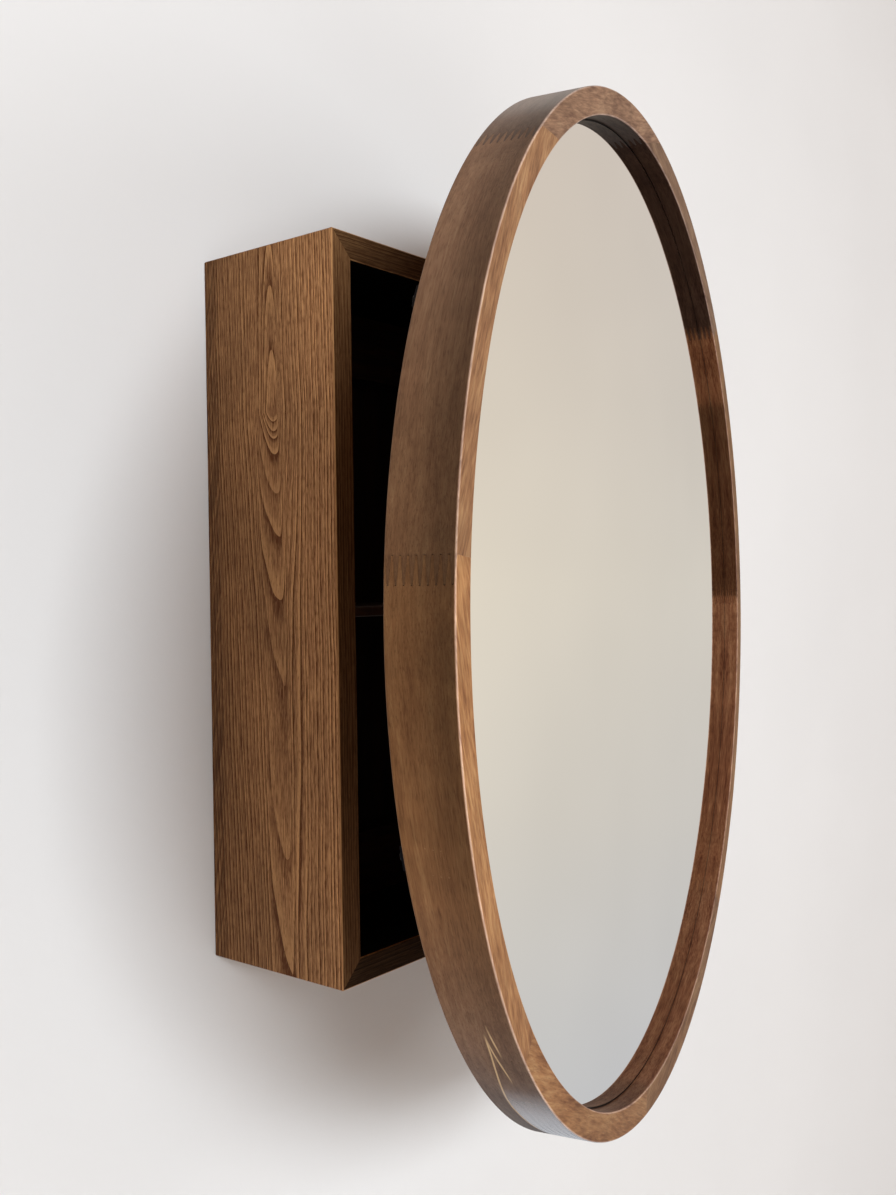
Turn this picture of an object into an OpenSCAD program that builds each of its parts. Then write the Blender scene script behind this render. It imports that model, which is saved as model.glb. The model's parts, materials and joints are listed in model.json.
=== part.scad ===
// Round mirror cabinet: a mitred wooden box on the wall, with a large round mirror as its door.
// Millimetres. X is right, Y goes into the wall and Z is up. The origin is the middle of the
// box's back face, on the wall. The door is drawn shut and is then swung to its rest angle.

/* [Cabinet box] */
// Outer width of the box
box_w = 460; // [400:5:500]
// Outer height of the box
box_h = 500; // [420:5:520]
// Depth of the box from the wall to its front edge
box_d = 126; // [100:1:180]
// Thickness of the four boards of the box
board_t = 18; // [15:0.5:22]
// Chamfer along the front and outer edges of the boards
arris = 0.8; // [0.4:0.1:1.5]

/* [Corner splines] */
// Thickness of the hidden spline in each mitre
spline_t = 4; // [3:0.5:5]
// Width of the spline across the mitre
spline_w = 14; // [10:0.5:15]
// Distance of the spline from the inner corner, along the mitre
spline_seat = 9; // [8:0.5:10]
// How far the spline stops short of the front and of the back
spline_stop = 15; // [12:1:30]
// Glue clearance round splines and dowels
glue_play = 0.1; // [0.05:0.05:0.2]

/* [Back and hanging rails] */
// Thickness of the back panel
back_t = 6; // [4:0.5:9]
// How far the back panel laps onto the boards
back_lap = 9; // [7:0.5:11]
// Clearance round the edge of the back panel
back_play = 0.5; // [0.2:0.1:1]
// Height of each hanging rail
rail_h = 50; // [44:1:70]
// Thickness of each hanging rail
rail_t = 15; // [12:0.5:20]
// Diameter of the dowels that carry the rails
dowel_d = 8; // [6:0.5:8]
// Depth of each dowel in the side board
dowel_in_side = 11; // [8:0.5:12]
// Depth of each dowel in the rail
dowel_in_rail = 18; // [12:1:25]
// Distance between the two dowels at a rail's end
dowel_pitch = 26; // [20:1:28]
// Diameter of the holes for the wall screws
wall_hole_d = 5.5; // [4:0.5:7]
// Distance between the two wall screws of a rail
wall_hole_pitch = 300; // [240:5:320]

/* [Shelf] */
// Thickness of the shelf
shelf_t = 7; // [6:0.5:12]
// Height of the shelf's top face above the middle of the box
shelf_top = 2; // [-40:1:40]
// How far the shelf sits back from the front edge of the box
shelf_setback = 2; // [1:0.5:10]
// Clearance at each end of the shelf and behind it
shelf_play = 0.5; // [0.3:0.1:1]
// Diameter of the shelf pins
shelf_pin_d = 5; // [4:0.5:6]
// Depth of each shelf pin in the side board
shelf_pin_in = 9; // [6:0.5:11]
// Reach of each shelf pin under the shelf
shelf_pin_out = 9; // [6:0.5:12]
// Thickness of the flat tongue of each shelf pin
shelf_tongue_t = 2; // [1.5:0.1:2.5]
// Distance of the shelf pins from the front and back edge of the shelf
shelf_pin_edge = 24; // [15:1:30]

/* [Mirror ring] */
// Outer diameter of the mirror ring
ring_d = 750; // [730:2:820]
// Depth of the ring from its back to its front face
ring_depth = 39; // [36:0.5:50]
// Width of the ring's front face
ring_face_w = 18.5; // [16:0.5:26]
// Thickness of the ring's wall behind the glass
ring_wall_t = 10.5; // [9:0.5:13]
// Radius of the ring's rounded edges
ring_edge_r = 1.2; // [0.5:0.1:2]
// Depth of the glass behind the front face
mirror_inset = 13.5; // [8:0.5:15]
// How far the ring's centre hangs below the middle of the box
mirror_drop = 6.5; // [0:0.5:10]

/* [Finger joints of the ring] */
// Length of the glued fingers
finger_l = 15; // [10:1:20]
// Number of fingers across the ring's depth
finger_n = 9; // [7:1:10]
// Width of a finger's blunt tip
finger_tip = 0.9; // [0.5:0.1:1.2]
// Thickness of the glue line between two segments
glue_line = 0.1; // [0.05:0.05:0.2]

/* [Glass and backing] */
// Thickness of the mirror glass
glass_t = 4; // [3:0.5:5]
// Clearance round the edge of the glass
glass_play = 1; // [0.5:0.1:1.5]
// Ground chamfer on the glass edge
glass_bevel = 0.6; // [0.3:0.1:1]
// Thickness of the mirror tape
tape_t = 1.5; // [1:0.1:2]
// Width of each strip of mirror tape
tape_w = 25; // [15:1:40]
// Number of strips of mirror tape
tape_n = 5; // [3:2:7]
// Distance between two strips of tape
tape_pitch = 120; // [60:5:120]
// Distance of the tape's ends from the edge of the backing board
tape_edge = 30; // [20:1:60]
// Thickness of the backing board
backing_t = 18; // [12:0.5:18]
// Clearance round the edge of the backing board
backing_play = 0.5; // [0.3:0.1:1]

/* [Hinges] */
// Angle of the door at rest, from shut
door_open = 14; // [0:0.5:60]
// Length of each hinge
hinge_l = 65; // [50:1:80]
// Distance of the outer hinges' middles from the ends of the box
hinge_end = 65; // [50:1:90]
// Reach of each hinge leaf from the pin's axis
leaf_w = 20; // [18:0.5:21]
// Thickness of the hinge leaves
leaf_t = 1.5; // [1.2:0.1:2]
// Cut corners of the leaves
leaf_corner = 2; // [1:0.5:4]
// Number of knuckles in each hinge
knuckle_n = 5; // [3:2:7]
// Gap between two knuckles
knuckle_gap = 0.3; // [0.2:0.05:0.5]
// Diameter of the hinge pins
hinge_pin_d = 3; // [2.5:0.1:4]
// Thickness of the pins' button ends
pin_button_t = 1.2; // [0.8:0.1:2]
// How far the button ends stand over the pin
pin_button_lip = 0.9; // [0.5:0.1:1.2]
// Running clearance of the door leaves on the pins
run_play = 0.05; // [0.03:0.01:0.08]
// Clearance of the pins in the cabinet leaves
grip_play = 0.02; // [0.01:0.01:0.05]
// Distance of the pin's axis outside the box's side
hinge_out = 3.5; // [3:0.1:4]
// Distance of the outer leaf screws from the middle one
leaf_screw_pitch = 23; // [15:1:23]
// Stagger of the leaf screws across the leaf
leaf_screw_stagger = 2.5; // [0:0.5:3]
// Diameter of the leaf screws
leaf_screw_d = 3.5; // [3:0.1:4]
// Length of the screws in the box
leaf_screw_l = 25; // [16:1:30]
// Length of the screws in the backing board
door_screw_l = 15; // [10:1:16]

/* [Magnetic catch] */
// Position of the catch, left of the middle of the box
catch_left = 100; // [40:1:150]
// Width of the catch housing without its ears
catch_w = 30; // [26:1:36]
// Length of the catch housing from front to back
catch_l = 24; // [22:1:30]
// Height of the catch housing
catch_h = 13; // [12:0.5:16]
// Length of each screw ear
catch_ear = 9; // [8:0.5:12]
// Thickness of the screw ears
catch_ear_t = 3; // [2:0.5:4]
// How far the housing stands out of the box
catch_proud = 2.5; // [1:0.1:3.5]
// Length of the magnet
magnet_l = 16; // [12:0.5:18]
// Height of the magnet
magnet_h = 6; // [4:0.5:6]
// Width of the magnet and its steel poles
magnet_w = 24; // [16:1:25]
// Thickness of each steel pole
pole_t = 1.5; // [1:0.1:2]
// Play of the magnet and its poles in the housing
magnet_play = 0.2; // [0.1:0.05:0.3]
// Gap between the poles and the strike when the door is shut
strike_gap = 0.3; // [0.2:0.1:0.5]
// Thickness of the strike plate
strike_t = 1.2; // [0.8:0.1:1.5]
// Width of the strike plate
strike_w = 38; // [34:1:46]
// Height of the strike plate
strike_h = 14; // [12:1:18]
// Distance of the strike's screws from its middle
strike_screw_x = 14; // [12:0.5:14]
// Diameter of the catch, strike and clip screws
small_screw_d = 3; // [2.5:0.1:3.5]
// Length of the catch, strike and clip screws in the wood
small_screw_l = 12; // [8:1:14]

/* [Retaining clips and bumpers] */
// Width of each retaining clip
clip_w = 14; // [10:1:20]
// Thickness of the clips
clip_t = 1.5; // [1:0.1:2]
// Reach of the clips over the backing board
clip_reach = 16; // [10:1:18]
// Distance of the clip screws from the ring's outside
clip_screw_edge = 5; // [4:0.1:5.5]
// Diameter of the door bumpers
bumper_d = 10; // [8:0.5:14]
// Gap left by the bumpers when the door is shut
bumper_gap = 0.3; // [0.2:0.1:0.5]
// Distance of the bumpers from the ends of the box
bumper_end = 100; // [50:5:150]

/* [Hidden] */
$fn = 48;
cut = 1;
// Ring joints, in degrees from the right, anticlockwise as seen from the front
joint_deg = [1, 47, 88, 129.5, 175.5, 220.5, 265.5, 310.5];
segment_n = len(joint_deg);
segment_colour = ["#7d4f30", "#5f3c26", "#6b4429", "#5b3a24", "#6d4a2f", "#75492c", "#80502f", "#7a4c2d"];

inner_w = box_w - 2 * board_t;
inner_h = box_h - 2 * board_t;
front_y = -box_d;
rail_z = inner_h / 2 - rail_h / 2;
rail_y = -back_t - rail_t / 2;
shelf_z = shelf_top - shelf_t;
shelf_front = front_y + shelf_setback;
shelf_back = -back_t - shelf_play;

ring_r = ring_d / 2;
rebate_r = ring_r - ring_wall_t;
lip_r = ring_r - ring_face_w;
glass_front = ring_depth - mirror_inset;
glass_back = glass_front - glass_t;
backing_front = glass_back - tape_t;
backing_back = backing_front - backing_t;
backing_r = rebate_r - backing_play;

hinge_pin_r = hinge_pin_d / 2;
barrel_r = hinge_pin_r + leaf_t;
hinge_x = box_w / 2 + hinge_out;
hinge_y = front_y - barrel_r;
hinge_pitch = box_h / 2 - hinge_end;
knuckle_l = hinge_l / knuckle_n;
leaf_root = barrel_r + knuckle_gap;
leaf_mid = (leaf_w + leaf_root) / 2;
// The two leaves of a shut hinge fill the space between the box and the backing board
board_gap = 2 * barrel_r;
ring_gap = board_gap - backing_back;

catch_z = inner_h / 2 - catch_h / 2;
pole_front = board_gap - strike_t - strike_gap;
small_head_d = 2 * small_screw_d;
small_head_h = 0.6 * small_screw_d;
screw_play = 0.1;

// Door parts are drawn shut; this swings them to the rest angle about the hinge pins
module swung() {
    translate([hinge_x, hinge_y, 0]) rotate([0, 0, door_open])
        translate([-hinge_x, -hinge_y, 0]) children();
}

// Ring frame: x right, y up, z towards the viewer, from the middle of the ring's back plane
module on_ring() {
    swung() translate([0, front_y - ring_gap, -mirror_drop]) rotate([90, 0, 0]) children();
}

function arc(x, y, r, from, to, steps = 4) =
    [for (i = [0:steps]) let (a = from + (to - from) * i / steps) [x + r * cos(a), y + r * sin(a)]];

// Screws point along -z from the top of their head
module countersunk(d, head_h, l) {
    difference() {
        rotate_extrude() polygon([[0, 0], [d / 2 + head_h, 0], [d / 2, -head_h], [d / 2, d - l], [0, -l]]);
        cross_recess(d, head_h * 0.6);
    }
}

module pan_head(d, l) {
    difference() {
        rotate_extrude() polygon([[0, small_head_h], [small_head_d * 0.3, small_head_h],
            [small_head_d * 0.45, small_head_h * 0.7], [small_head_d / 2, 0], [d / 2, 0],
            [d / 2, d - l], [0, -l]]);
        translate([0, 0, small_head_h]) cross_recess(d, small_head_h * 0.6);
    }
}

module cross_recess(d, depth) {
    for (a = [0, 90]) rotate([0, 0, a])
        translate([-d / 2, -d / 8, -depth]) cube([d, d / 4, depth + cut]);
}

module countersunk_hole(d, head_h, l) {
    top_r = d / 2 + head_h + screw_play;
    rotate_extrude() polygon([[0, cut], [top_r, cut], [top_r, 0], [d / 2 + screw_play, -head_h],
        [d / 2 + screw_play, -l - screw_play], [0, -l - screw_play]]);
}

module pilot_hole(d, l) {
    translate([0, 0, -l - screw_play]) cylinder(h = l + screw_play + cut, d = d + 2 * screw_play);
}

// Cross-section of a board with chamfered front edges, from x = 0 to board_t
module board_section() {
    polygon([[0, 0], [0, front_y + arris], [arris, front_y], [board_t - arris, front_y],
        [board_t, front_y + arris], [board_t, 0]]);
}

// Outline of a mitred board seen from the front, lying along x with its outside at y = 0
module mitred_outline(l) {
    polygon([[-l / 2 + arris, 0], [-l / 2 + arris / 2, -arris / 2], [-l / 2 + board_t, -board_t],
        [l / 2 - board_t, -board_t], [l / 2 - arris / 2, -arris / 2], [l / 2 - arris, 0]]);
}

// One mitred board along x, with its outside at z = 0
module mitred_board(l) {
    intersection() {
        rotate([0, 90, 0]) translate([0, 0, -l / 2]) linear_extrude(height = l) board_section();
        rotate([90, 0, 0]) linear_extrude(height = box_d) mitred_outline(l);
    }
}

module back_rebate() {
    w = inner_w + 2 * back_lap;
    h = inner_h + 2 * back_lap;
    translate([-w / 2, -back_t, -h / 2]) cube([w, back_t + cut, h]);
}

module splines(play) {
    for (sx = [-1, 1], sz = [-1, 1])
        translate([sx * inner_w / 2, 0, sz * inner_h / 2]) rotate([0, sz * sx > 0 ? -45 : 45, 0])
            translate([sx * spline_seat - spline_t / 2 - play, front_y + spline_stop - play,
                -spline_w / 2 - play])
                cube([spline_t + 2 * play, box_d - 2 * spline_stop + 2 * play, spline_w + 2 * play]);
}

module dowels(play) {
    for (sx = [-1, 1], sz = [-1, 1], k = [-0.5, 0.5])
        translate([sx * (inner_w / 2 + (dowel_in_side - dowel_in_rail) / 2), rail_y,
            sz * rail_z + k * dowel_pitch]) rotate([0, 90, 0])
            cylinder(h = dowel_in_side + dowel_in_rail + 2 * play, d = dowel_d + 2 * play, center = true);
}

// Positions of the shelf pins; children lie along +x, into the right-hand board
module each_shelf_pin() {
    for (y = [shelf_front + shelf_pin_edge, shelf_back - shelf_pin_edge], side = [0, 1])
        rotate([0, 0, 180 * side])
            translate([inner_w / 2, (side == 0 ? 1 : -1) * y, shelf_z - shelf_pin_d / 2]) children();
}

// Positions of the screws that hold the back panel; children point along -z into the rails and sides
module each_back_screw() {
    for (z = [-rail_z, rail_z], k = [-1:1])
        translate([k * wall_hole_pitch * 0.3, 0, z]) rotate([-90, 0, 0]) children();
    for (sx = [-1, 1], k = [-1, 1])
        translate([sx * (inner_w + back_lap) / 2, 0, k * inner_h / 6]) rotate([-90, 0, 0]) children();
}

module each_wall_hole() {
    for (sx = [-1, 1], sz = [-1, 1])
        translate([sx * wall_hole_pitch / 2, -back_t - rail_t, sz * rail_z])
            rotate([90, 0, 0]) children();
}

// Wall screw hole with a countersink at the front of the rail
module wall_hole() {
    translate([0, 0, -back_t - rail_t - cut]) cylinder(h = back_t + rail_t + 2 * cut, d = wall_hole_d);
    translate([0, 0, -wall_hole_d / 2]) cylinder(h = wall_hole_d / 2, d1 = wall_hole_d, d2 = 2 * wall_hole_d);
}

module each_hinge() {
    for (k = [-1:1]) translate([hinge_x, hinge_y, k * hinge_pitch]) children();
}

// Leaf screws of one hinge; side is 1 for the box and -1 for the door
module each_leaf_screw(side) {
    for (k = [-1:1])
        translate([-leaf_mid + (k == 0 ? -1 : 1) * leaf_screw_stagger, side * (barrel_r - leaf_t),
            k * leaf_screw_pitch]) rotate([side * 90, 0, 0]) children();
}

// Catch screws, in the ears of the housing; children point up into the top board
module each_catch_screw() {
    for (sx = [-1, 1])
        translate([-catch_left + sx * (catch_w + catch_ear) / 2, front_y - catch_proud + catch_l / 2,
            inner_h / 2 - catch_ear_t]) rotate([180, 0, 0]) children();
}

// Strike screws, in the frame of the shut door; children point into the backing board
module each_strike_screw() {
    for (sx = [-1, 1])
        translate([-catch_left + sx * strike_screw_x, front_y - board_gap + strike_t, catch_z])
            rotate([-90, 0, 0]) children();
}

// Middle of each ring segment, where a clip sits
function segment_end(i) = joint_deg[(i + 1) % segment_n] + (i == segment_n - 1 ? 360 : 0);
function segment_mid(i) = (joint_deg[i] + segment_end(i)) / 2;

module left_side() {
    color("#6e472b") difference() {
        translate([-box_w / 2, 0, 0]) rotate([0, -90, 0]) mitred_board(box_h);
        back_rebate();
        splines(glue_play);
        dowels(glue_play);
        each_shelf_pin() pin_socket();
        each_back_screw() countersunk_hole(small_screw_d, small_screw_d / 2, small_screw_l + back_t);
    }
}

module right_side() {
    color("#6e472b") difference() {
        translate([box_w / 2, 0, 0]) rotate([0, 90, 0]) mitred_board(box_h);
        back_rebate();
        splines(glue_play);
        dowels(glue_play);
        each_shelf_pin() pin_socket();
        each_back_screw() countersunk_hole(small_screw_d, small_screw_d / 2, small_screw_l + back_t);
        each_hinge() each_leaf_screw(1) countersunk_hole(leaf_screw_d, leaf_t, leaf_screw_l);
    }
}

module top_panel() {
    color("#5d3b24") difference() {
        translate([0, 0, box_h / 2]) mitred_board(box_w);
        back_rebate();
        splines(glue_play);
        each_catch_screw() pilot_hole(small_screw_d, small_screw_l);
    }
}

module bottom_panel() {
    color("#5d3b24") difference() {
        translate([0, 0, -box_h / 2]) mirror([0, 0, 1]) mitred_board(box_w);
        back_rebate();
        splines(glue_play);
    }
}

module corner_splines() {
    color("#c9a878") splines(0);
}

module back_panel() {
    w = inner_w + 2 * (back_lap - back_play);
    h = inner_h + 2 * (back_lap - back_play);
    color("#4a3322") difference() {
        translate([-w / 2, -back_t, -h / 2]) cube([w, back_t, h]);
        each_wall_hole() wall_hole();
        each_back_screw() countersunk_hole(small_screw_d, small_screw_d / 2, small_screw_l + back_t);
    }
}

// One hanging rail; up is 1 for the top rail and -1 for the bottom one
module hanging_rail(up) {
    color("#6a4a30") difference() {
        translate([-inner_w / 2, -back_t - rail_t, up * rail_z - rail_h / 2])
            cube([inner_w, rail_t, rail_h]);
        dowels(glue_play);
        each_wall_hole() wall_hole();
        each_back_screw() countersunk_hole(small_screw_d, small_screw_d / 2, small_screw_l + back_t);
    }
}

module top_hanging_rail() { hanging_rail(1); }
module bottom_hanging_rail() { hanging_rail(-1); }

module rail_dowels() {
    color("#cfae7c") dowels(0);
}

module back_panel_screws() {
    color("#b8b8b4") each_back_screw() countersunk(small_screw_d, small_screw_d / 2, small_screw_l + back_t);
}

module shelf() {
    w = inner_w - 2 * shelf_play;
    color("#5a3320") translate([-w / 2, 0, shelf_z]) rotate([0, 90, 0]) linear_extrude(height = w)
        polygon([[0, shelf_back], [0, shelf_front + arris], [-arris, shelf_front],
            [arris - shelf_t, shelf_front], [-shelf_t, shelf_front + arris], [-shelf_t, shelf_back]]);
}

// Socket for a shelf pin, from the inner face of the side board
module pin_socket() {
    translate([-cut, 0, 0]) rotate([0, 90, 0])
        cylinder(h = shelf_pin_in + screw_play + cut, d = shelf_pin_d + 2 * screw_play);
}

// A round pin with a flat tongue, whose top carries the shelf
module shelf_pin() {
    rotate([0, 90, 0]) cylinder(h = shelf_pin_in, d = shelf_pin_d);
    translate([-shelf_pin_out, -shelf_pin_d, shelf_pin_d / 2 - shelf_tongue_t])
        cube([shelf_pin_out, 2 * shelf_pin_d, shelf_tongue_t]);
    translate([-shelf_tongue_t, -shelf_pin_d, -shelf_pin_d / 2])
        cube([shelf_tongue_t, 2 * shelf_pin_d, shelf_pin_d]);
}

module shelf_pins() {
    color("#9a9a98") each_shelf_pin() shelf_pin();
}

module catch_housing() {
    color("#2c2420") difference() {
        translate([-catch_left, front_y - catch_proud, inner_h / 2]) difference() {
            union() {
                translate([-catch_w / 2, 0, -catch_h]) cube([catch_w, catch_l, catch_h]);
                translate([-catch_w / 2 - catch_ear, catch_l / 2 - catch_ear / 2, -catch_ear_t])
                    cube([catch_w + 2 * catch_ear, catch_ear, catch_ear_t]);
            }
            translate([-magnet_w / 2 - magnet_play, -cut,
                -catch_h / 2 - magnet_h / 2 - pole_t - magnet_play])
                cube([magnet_w + 2 * magnet_play, magnet_l + catch_proud + magnet_play + cut,
                    magnet_h + 2 * pole_t + 2 * magnet_play]);
        }
        each_catch_screw() pilot_hole(small_screw_d, small_screw_l);
    }
}

module catch_magnet() {
    color("#3a3a3c") translate([-catch_left - magnet_w / 2, front_y, catch_z - magnet_h / 2])
        cube([magnet_w, magnet_l, magnet_h]);
}

module catch_poles() {
    color("#a9abad") for (k = [-1, 1])
        translate([-catch_left - magnet_w / 2, front_y - pole_front,
            catch_z + k * (magnet_h + pole_t) / 2 - pole_t / 2])
            cube([magnet_w, magnet_l + pole_front, pole_t]);
}

module catch_screws() {
    color("#b8b8b4") each_catch_screw() pan_head(small_screw_d, small_screw_l);
}

// One leaf, from the pin's axis; side is 1 for the box and -1 for the door, first its lowest knuckle
module hinge_leaf(side, first, play) {
    difference() {
        union() {
            translate([0, side > 0 ? barrel_r : leaf_t - barrel_r, 0]) rotate([90, 0, 0])
                linear_extrude(height = leaf_t) polygon([[-leaf_root, -hinge_l / 2],
                    [-leaf_root, hinge_l / 2], [leaf_corner - leaf_w, hinge_l / 2],
                    [-leaf_w, hinge_l / 2 - leaf_corner], [-leaf_w, leaf_corner - hinge_l / 2],
                    [leaf_corner - leaf_w, -hinge_l / 2]]);
            for (k = [first:2:knuckle_n - 1]) knuckle(side, k);
        }
        translate([0, 0, -hinge_l / 2 - cut])
            cylinder(h = hinge_l + 2 * cut, r = hinge_pin_r + play);
        each_leaf_screw(side) countersunk_hole(leaf_screw_d, leaf_t, leaf_screw_l);
    }
}

// One knuckle, rolled from the edge of its leaf
module knuckle(side, k) {
    low = -hinge_l / 2 + k * knuckle_l + (k == 0 ? 0 : knuckle_gap / 2);
    high = -hinge_l / 2 + (k + 1) * knuckle_l - (k == knuckle_n - 1 ? 0 : knuckle_gap / 2);
    translate([0, 0, low]) cylinder(h = high - low, r = barrel_r);
    translate([-leaf_root - cut, side > 0 ? barrel_r - leaf_t : -barrel_r, low])
        cube([leaf_root + cut, leaf_t, high - low]);
}

module cabinet_leaf(k) {
    color("#8c7a58") translate([hinge_x, hinge_y, k * hinge_pitch]) hinge_leaf(1, 0, grip_play);
}

module door_leaf(k) {
    color("#8c7a58") swung() translate([hinge_x, hinge_y, k * hinge_pitch]) hinge_leaf(-1, 1, run_play);
}

module hinge_pin(k) {
    half = hinge_l / 2;
    button_r = hinge_pin_r + pin_button_lip;
    color("#97855f") translate([hinge_x, hinge_y, k * hinge_pitch]) rotate_extrude()
        polygon([[0, -half - pin_button_t], [button_r * 0.6, -half - pin_button_t],
            [button_r, -half - pin_button_t / 2], [button_r, -half], [hinge_pin_r, -half],
            [hinge_pin_r, half], [button_r, half], [button_r, half + pin_button_t / 2],
            [button_r * 0.6, half + pin_button_t], [0, half + pin_button_t]]);
}

module upper_hinge_cabinet_leaf() { cabinet_leaf(1); }
module middle_hinge_cabinet_leaf() { cabinet_leaf(0); }
module lower_hinge_cabinet_leaf() { cabinet_leaf(-1); }
module upper_hinge_door_leaf() { door_leaf(1); }
module middle_hinge_door_leaf() { door_leaf(0); }
module lower_hinge_door_leaf() { door_leaf(-1); }
module upper_hinge_pin() { hinge_pin(1); }
module middle_hinge_pin() { hinge_pin(0); }
module lower_hinge_pin() { hinge_pin(-1); }

module cabinet_leaf_screws() {
    color("#a8935f") each_hinge() each_leaf_screw(1) countersunk(leaf_screw_d, leaf_t, leaf_screw_l);
}

module door_leaf_screws() {
    color("#a8935f") swung() each_hinge() each_leaf_screw(-1)
        countersunk(leaf_screw_d, leaf_t, door_screw_l);
}

// The whole ring before it is divided: a wall with a rebate behind a wide front lip
module ring_blank() {
    e = ring_edge_r;
    rotate_extrude($fn = 180) polygon(concat([[rebate_r, 0]],
        arc(ring_r - e, e, e, -90, 0), arc(ring_r - e, ring_depth - e, e, 0, 90),
        arc(lip_r + e, ring_depth - e, e, 90, 180), [[lip_r, glass_front], [rebate_r, glass_front]]));
}

// Half of the line of fingers, along the ring's depth; side is 1 or -1, for its two sides
function finger_line(side) = let (
    pitch = ring_depth / finger_n,
    flank = pitch / 2 - finger_tip,
    out = side * glue_line / 2
) [for (k = [-1:finger_n], p = [
    [-finger_l / 2 + out, out], [-finger_l / 2 + out, finger_tip - out],
    [finger_l / 2 + out, finger_tip + flank - out], [finger_l / 2 + out, 2 * finger_tip + flank + out]])
    [p[0], p[1] + k * pitch]];

// Everything on one side of the joint at this angle, with fingers as its near face
module beyond_joint(angle, side) {
    line = finger_line(side);
    reach = side * ring_r;
    rotate([0, 0, angle]) rotate([90, 0, 90]) translate([0, 0, ring_r * 0.3])
        linear_extrude(height = ring_r * 0.7 + cut)
            polygon(concat(line, [[reach, line[len(line) - 1][1]], [reach, line[0][1]]]));
}

module ring_segment(i) {
    color(segment_colour[i]) on_ring() difference() {
        intersection() {
            ring_blank();
            beyond_joint(joint_deg[i], 1);
            beyond_joint(segment_end(i), -1);
        }
        clip_screw_place(i) pilot_hole(small_screw_d, small_screw_l);
    }
}

module ring_segment_1() { ring_segment(0); }
module ring_segment_2() { ring_segment(1); }
module ring_segment_3() { ring_segment(2); }
module ring_segment_4() { ring_segment(3); }
module ring_segment_5() { ring_segment(4); }
module ring_segment_6() { ring_segment(5); }
module ring_segment_7() { ring_segment(6); }
module ring_segment_8() { ring_segment(7); }

module mirror_glass() {
    r = rebate_r - glass_play;
    color("#cfd6d6") on_ring() rotate_extrude($fn = 180)
        polygon([[0, glass_back], [r - glass_bevel, glass_back], [r, glass_back + glass_bevel],
            [r, glass_front - glass_bevel], [r - glass_bevel, glass_front], [0, glass_front]]);
}

module mirror_tape() {
    reach = backing_r - tape_edge;
    color("#2b2b2b") on_ring() for (k = [-(tape_n - 1) / 2:(tape_n - 1) / 2]) {
        x = k * tape_pitch;
        half = sqrt(max(reach * reach - x * x, 1));
        translate([x - tape_w / 2, -half, backing_front]) cube([tape_w, 2 * half, tape_t]);
    }
}

module backing_board() {
    color("#b08d5f") difference() {
        on_ring() translate([0, 0, backing_back]) cylinder(h = backing_t, r = backing_r, $fn = 180);
        swung() each_hinge() each_leaf_screw(-1) countersunk_hole(leaf_screw_d, leaf_t, door_screw_l);
        swung() each_strike_screw() countersunk_hole(small_screw_d, strike_t, small_screw_l);
    }
}

module clip_screw_place(i) {
    rotate([0, 0, segment_mid(i)]) translate([ring_r - clip_screw_edge, 0, 0])
        rotate([180, 0, 0]) children();
}

// A strip of steel stepped from the ring's back down onto the backing board
module retaining_clip() {
    translate([0, clip_w / 2, 0]) rotate([90, 0, 0]) linear_extrude(height = clip_w)
        polygon([[backing_r - clip_reach, backing_back], [backing_r - clip_reach, backing_back - clip_t],
            [backing_r - clip_t, backing_back - clip_t], [backing_r - clip_t, -clip_t],
            [ring_r - ring_edge_r, -clip_t], [ring_r - ring_edge_r, 0], [backing_r, 0],
            [backing_r, backing_back]]);
}

module retaining_clips() {
    color("#38373a") on_ring() for (i = [0:segment_n - 1]) difference() {
        rotate([0, 0, segment_mid(i)]) retaining_clip();
        clip_screw_place(i) translate([0, 0, clip_t]) pilot_hole(small_screw_d, small_screw_l);
    }
}

module clip_screws() {
    color("#403f42") on_ring() for (i = [0:segment_n - 1])
        clip_screw_place(i) translate([0, 0, clip_t]) pan_head(small_screw_d, small_screw_l);
}

module strike_plate() {
    color("#a9abad") swung() difference() {
        translate([-catch_left - strike_w / 2, front_y - board_gap, catch_z - strike_h / 2])
            cube([strike_w, strike_t, strike_h]);
        each_strike_screw() countersunk_hole(small_screw_d, strike_t, small_screw_l);
    }
}

module strike_screws() {
    color("#b8b8b4") swung() each_strike_screw() countersunk(small_screw_d, strike_t, small_screw_l);
}

// Rubber buttons on the backing board, which meet the left board's front edge
module door_bumpers() {
    h = board_gap - bumper_gap;
    color("#55504a") swung() for (k = [-1, 1])
        translate([board_t / 2 - box_w / 2, front_y - board_gap, k * (box_h / 2 - bumper_end)])
            rotate([-90, 0, 0])
                rotate_extrude() polygon(concat([[0, 0], [bumper_d / 2, 0]],
                    arc(bumper_d * 0.3, h - bumper_d * 0.2, bumper_d * 0.2, 0, 90), [[0, h]]));
}

left_side();
right_side();
top_panel();
bottom_panel();
corner_splines();
back_panel();
top_hanging_rail();
bottom_hanging_rail();
rail_dowels();
back_panel_screws();
shelf();
shelf_pins();
catch_housing();
catch_magnet();
catch_poles();
catch_screws();
upper_hinge_cabinet_leaf();
middle_hinge_cabinet_leaf();
lower_hinge_cabinet_leaf();
upper_hinge_pin();
middle_hinge_pin();
lower_hinge_pin();
cabinet_leaf_screws();
ring_segment_1();
ring_segment_2();
ring_segment_3();
ring_segment_4();
ring_segment_5();
ring_segment_6();
ring_segment_7();
ring_segment_8();
mirror_glass();
mirror_tape();
backing_board();
retaining_clips();
clip_screws();
upper_hinge_door_leaf();
middle_hinge_door_leaf();
lower_hinge_door_leaf();
door_leaf_screws();
strike_plate();
strike_screws();
door_bumpers();
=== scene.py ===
"""Round mirror cabinet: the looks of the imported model.

The frame gives every piece its place. This file gives the ring door its curved pieces of wood
with their finger joints and glue lines, finishes every carried-over piece, and sets the stage and
camera.
"""

import json
import math
from functools import partial

import bpy
import numpy as np
from bpy.props import FloatProperty, FloatVectorProperty, IntProperty, PointerProperty
from mathutils import Matrix, Vector


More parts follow.
